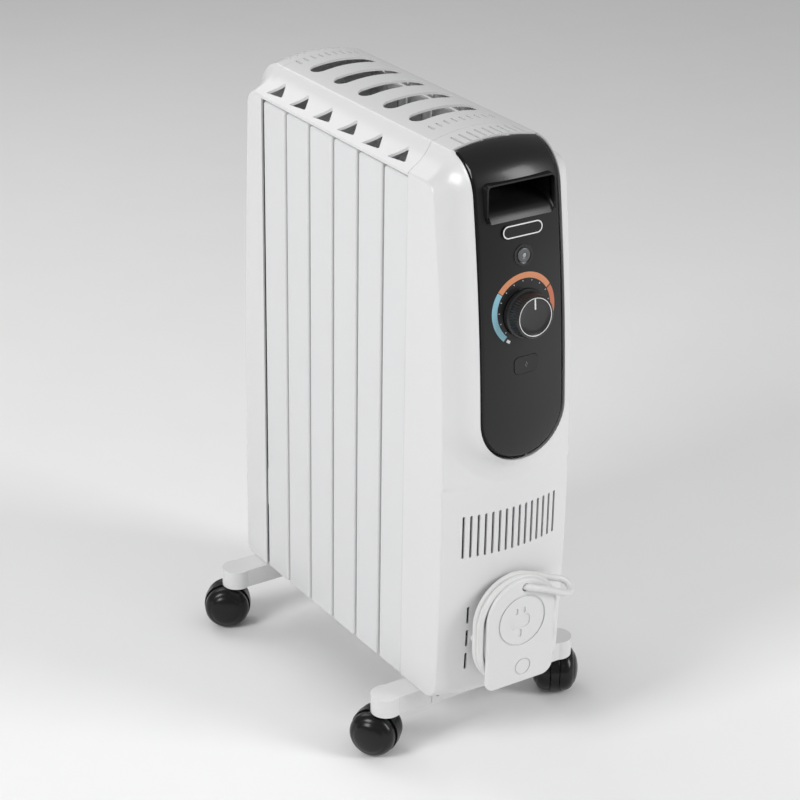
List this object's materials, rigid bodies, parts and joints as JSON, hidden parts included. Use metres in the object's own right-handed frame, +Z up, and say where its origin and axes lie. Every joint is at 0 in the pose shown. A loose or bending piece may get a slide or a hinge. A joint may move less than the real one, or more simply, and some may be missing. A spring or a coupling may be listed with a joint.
{
  "type": "oil filled radiator heater",
  "caption": "Free-standing oil filled radiator with upright fins, arched top grille, front controls, cord wrap and swivelling casters.",
  "frame": {"origin": "on the floor, under the middle of the heater's box (cord left out)", "axes": "+Z up, -Y is the front with the controls, +X to the right seen from the front"},
  "size_m": [0.2842, 0.4257, 0.64],
  "materials": {
    "fin_enamel": "satin stoved enamel",
    "cover_white": "satin",
    "foot_white": "satin",
    "panel_black": "gloss",
    "recess_black": "satin",
    "badge": "gloss",
    "dial_print": "printed",
    "knob_black": "satin",
    "marking_white": "printed",
    "steel": "zinc plated",
    "element": "drawn",
    "gasket": "matt",
    "thermostat_case": "moulded",
    "brass_nut": "turned",
    "power_grey": "translucent",
    "pilot_lens": "clear",
    "board": "solder mask",
    "sensor": "lacquered",
    "cord_white": "flexible pvc",
    "caster_black": "gloss"
  },
  "bodies": {
    "root": {"fin_1": "fin_enamel", "fin_2": "fin_enamel", "fin_3": "fin_enamel", "fin_4": "fin_enamel", "fin_5": "fin_enamel", "fin_6": "fin_enamel", "header_plugs": "steel", "heating_element": "element", "element_gasket": "gasket", "top_grille": "cover_white", "front_cover": "cover_white", "rear_cover": "cover_white", "control_panel": "panel_black", "handle_pocket": "recess_black", "badge_plate": "badge", "dial_ring": "dial_print", "thermostat_body": "thermostat_case", "spindle_nut": "brass_nut", "power_bezel": "panel_black", "button_springs": "steel", "control_board": "board", "room_sensor": "sensor", "cord_drum": "cover_white", "cord_plate": "cover_white", "cord_gland": "cord_white", "power_cord": "cord_white", "cord_winding": "cord_white", "plug_body": "cord_white", "plug_pins": "steel", "front_foot": "foot_white", "rear_foot": "foot_white", "foot_brackets": "steel", "foot_screws": "steel", "cover_screws": "steel"},
    "knob": {"thermostat_knob": "knob_black", "knob_marking": "marking_white", "knob_spindle": "steel"},
    "power_key": {"power_button": "power_grey", "pilot_lens": "pilot_lens"},
    "mode_key": {"mode_button": "panel_black"},
    "caster_fl_swivel": {"caster_fl_hood": "caster_black", "caster_fl_stem": "steel"},
    "caster_fl_roll": {"caster_fl_wheels": "caster_black", "caster_fl_axle": "steel"},
    "caster_fr_swivel": {"caster_fr_hood": "caster_black", "caster_fr_stem": "steel"},
    "caster_fr_roll": {"caster_fr_wheels": "caster_black", "caster_fr_axle": "steel"},
    "caster_rl_swivel": {"caster_rl_hood": "caster_black", "caster_rl_stem": "steel"},
    "caster_rl_roll": {"caster_rl_wheels": "caster_black", "caster_rl_axle": "steel"},
    "caster_rr_swivel": {"caster_rr_hood": "caster_black", "caster_rr_stem": "steel"},
    "caster_rr_roll": {"caster_rr_wheels": "caster_black", "caster_rr_axle": "steel"}
  },
  "joints": [
    {"name": "knob_turn", "type": "hinge", "parent": "root", "child": "knob", "pos_m": [0, -0.19282, 0.4824], "axis": [0, -0.9952, 0.0978], "range_deg": [-110, 148]},
    {"name": "power_press", "type": "slide", "parent": "root", "child": "power_key", "axis": [0, 0.9923, -0.1235], "range_m": [0, 0.002], "stiffness_N_per_m": 300, "springref_m": -0.001},
    {"name": "mode_press", "type": "slide", "parent": "root", "child": "mode_key", "axis": [0, 0.9972, -0.0746], "range_m": [0, 0.0012], "stiffness_N_per_m": 300, "springref_m": -0.001},
    {"name": "caster_fl_swivel_turn", "type": "hinge", "parent": "root", "child": "caster_fl_swivel", "pos_m": [-0.106, -0.12694, 0.0486], "axis": [0, 0, 1], "continuous": true},
    {"name": "caster_fl_wheel_roll", "type": "hinge", "parent": "caster_fl_swivel", "child": "caster_fl_roll", "pos_m": [-0.11196, -0.11842, 0.024], "axis": [0.8192, 0.5736, 0], "continuous": true},
    {"name": "caster_fr_swivel_turn", "type": "hinge", "parent": "root", "child": "caster_fr_swivel", "pos_m": [0.106, -0.12694, 0.0486], "axis": [0, 0, 1], "continuous": true},
    {"name": "caster_fr_wheel_roll", "type": "hinge", "parent": "caster_fr_swivel", "child": "caster_fr_roll", "pos_m": [0.11196, -0.11842, 0.024], "axis": [0.8192, -0.5736, 0], "continuous": true},
    {"name": "caster_rl_swivel_turn", "type": "hinge", "parent": "root", "child": "caster_rl_swivel", "pos_m": [-0.106, 0.17656, 0.0486], "axis": [0, 0, 1], "continuous": true},
    {"name": "caster_rl_wheel_roll", "type": "hinge", "parent": "caster_rl_swivel", "child": "caster_rl_roll", "pos_m": [-0.11462, 0.18238, 0.024], "axis": [0.5592, 0.829, 0], "continuous": true},
    {"name": "caster_rr_swivel_turn", "type": "hinge", "parent": "root", "child": "caster_rr_swivel", "pos_m": [0.106, 0.17656, 0.0486], "axis": [0, 0, 1], "continuous": true},
    {"name": "caster_rr_wheel_roll", "type": "hinge", "parent": "caster_rr_swivel", "child": "caster_rr_roll", "pos_m": [0.11462, 0.18238, 0.024], "axis": [0.5592, -0.829, 0], "continuous": true}
  ]
}
